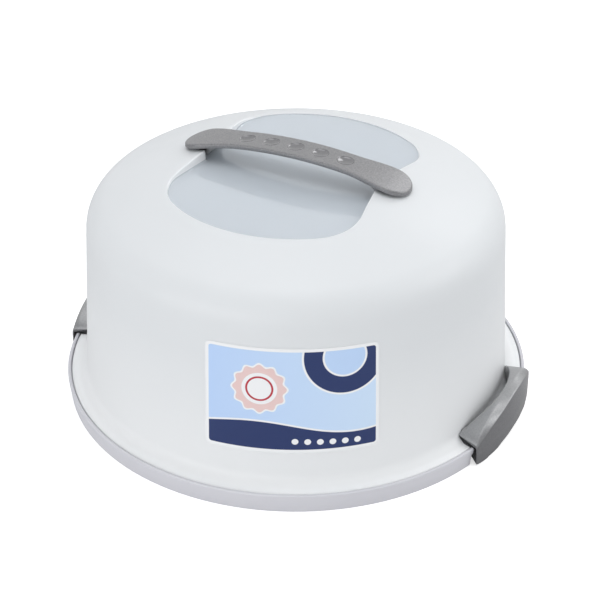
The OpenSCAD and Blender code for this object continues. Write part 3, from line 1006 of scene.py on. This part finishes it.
def make_label():
    """Sticker with rounded corners, wrapped round the wall."""
    corner_steps, straight_steps, cols = 8, 20, 72
    turns = [math.radians(90 * k / corner_steps) for k in range(corner_steps + 1)]
    corner = [LABEL_CORNER * (1 - math.cos(a)) for a in turns]
    straight = LABEL_H - 2 * LABEL_CORNER
    heights = corner + [
        LABEL_CORNER + straight * k / straight_steps for k in range(1, straight_steps)]
    heights += [LABEL_H - h for h in corner[::-1]]
    rows = []
    for h in heights:
        d = max(0.0, LABEL_CORNER - min(h, LABEL_H - h))
        cut = LABEL_CORNER - math.sqrt(max(0.0, LABEL_CORNER ** 2 - d * d))
        half = LABEL_W / 2 - cut
        rows.append([(half * (2 * k / cols - 1), h) for k in range(cols + 1)])
    mid_r = wall_at(LABEL_Z + LABEL_H / 2)

    def place(x, h, off):
        """The point x along and h up the label, a distance off the wall."""
        r = wall_at(LABEL_Z + h) + off
        a = math.radians(LABEL_A) + x / mid_r
        return r * math.cos(a), r * math.sin(a), LABEL_Z + h

    flat = [p for row in rows for p in row]
    verts = [place(x, h, off) for off in (LABEL_FRONT, LABEL_BACK) for x, h in flat]
    m, shift, end = cols + 1, len(flat), len(rows) - 1
    faces = []
    for j in range(end):
        for i in range(cols):
            q = (j * m + i, j * m + i + 1, (j + 1) * m + i + 1, (j + 1) * m + i)
            faces += [q, tuple(v + shift for v in q[::-1])]
    edge = list(range(m)) + [j * m + cols for j in range(1, end + 1)]
    edge += [end * m + i for i in range(cols - 1, -1, -1)]
    edge += [j * m for j in range(end - 1, 0, -1)]
    for p, q in zip(edge, edge[1:] + edge[:1]):
        faces.append((p, p + shift, q + shift, q))
    obj = new_object("label_print", verts, faces)
    layer = obj.data.uv_layers.new(name="print")
    for loop in obj.data.loops:
        x, h = flat[loop.vertex_index % shift]
        layer.data[loop.index].uv = (x / LABEL_W + 0.5, h / LABEL_H)
    shade_by_angle(obj, 40)
    obj.data.materials.append(label_paper())
    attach(obj, "cover")
    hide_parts("label")


def dress_nodes():
    """Finish of the tray, which is shown as the solid it is."""
    mat = white_plastic()
    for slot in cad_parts["base_tray"].material_slots:
        slot.material = mat


# ---------------------------------------------------------------- stage, light and camera

def make_stage():
    """A pale floor that is lighter still where the camera sees it."""
    s = FLOOR_HALF
    mesh = bpy.data.meshes.new("floor")
    mesh.from_pydata([(-s, -s, 0), (s, -s, 0), (s, s, 0), (-s, s, 0)], [], [(0, 1, 2, 3)])
    floor = bpy.data.objects.new("floor", mesh)
    bpy.context.scene.collection.objects.link(floor)
    mat, tree, shader = material("floor", FLOOR_TONE, 0.9)
    path = tree.nodes.new("ShaderNodeLightPath")
    glow = mix(tree, path.outputs["Is Camera Ray"], (0, 0, 0), FLOOR_GLOW)
    tree.links.new(glow, shader.inputs["Emission Color"])
    shader.inputs["Emission Strength"].default_value = 1.0
    floor.data.materials.append(mat)


def area_light(name, place, target, size, power):
    data = bpy.data.lights.new(name, "AREA")
    data.shape = "RECTANGLE"
    data.size, data.size_y = size
    data.energy = power
    lamp = bpy.data.objects.new(name, data)
    bpy.context.scene.collection.objects.link(lamp)
    lamp.location = place
    lamp.rotation_euler = (Vector(target) - Vector(place)).to_track_quat("-Z", "Y").to_euler()


def make_light():
    """A pale room with five lamps. It is white where the camera sees it, directly or through
    clear plastic, and darker towards the front in a reflection."""
    world = bpy.data.worlds.new("studio")
    bpy.context.scene.world = world
    world.use_nodes = True
    tree = world.node_tree
    path = tree.nodes.new("ShaderNodeLightPath")

    def towards(name, frm):
        """0 to 1 along one axis of the direction that a ray leaves in."""
        return to_range(tree, axis(tree, coordinates(tree, "Generated"), name), 0, 1, frm=frm)

    room = mix(tree, towards("Z", (-0.1, 0.9)), ROOM_LOW, ROOM_HIGH)
    room = mix(tree, towards("X", (-0.9, 0.1)), ROOM_LEFT, room)
    mirrored = mix(tree, towards("Y", (-0.7, 0.5)), GLOSS_FRONT, GLOSS_BACK)
    seen = mix(tree, path.outputs["Is Glossy Ray"], room, mirrored)
    seen = mix(tree, path.outputs["Is Transmission Ray"], seen, BRIGHT)
    seen = mix(tree, path.outputs["Is Camera Ray"], seen, BRIGHT)
    tree.links.new(seen, tree.nodes["Background"].inputs["Color"])
    for lamp in LAMPS:
        area_light(*lamp)


def make_camera():
    data = bpy.data.cameras.new("camera")
    data.sensor_width = CAMERA_SENSOR
    data.lens = CAMERA_LENS
    data.clip_start = 0.05
    cam = bpy.data.objects.new("camera", data)
    bpy.context.scene.collection.objects.link(cam)
    cam.location = CAMERA_PLACE
    cam.rotation_euler = (math.radians(90 - CAMERA_DOWN), 0, math.radians(CAMERA_TURN))
    bpy.context.scene.camera = cam


make_camera()
make_stage()
make_light()
make_cover()
make_handle()
# The latches' material carries painted light on their upper facets
latch_material = grey_latch()
make_latch("latch_right", 1, latch_material)
make_latch("latch_left", -1, latch_material)
make_label()
dress_nodes()

bpy.context.scene.view_settings.view_transform = "Standard"
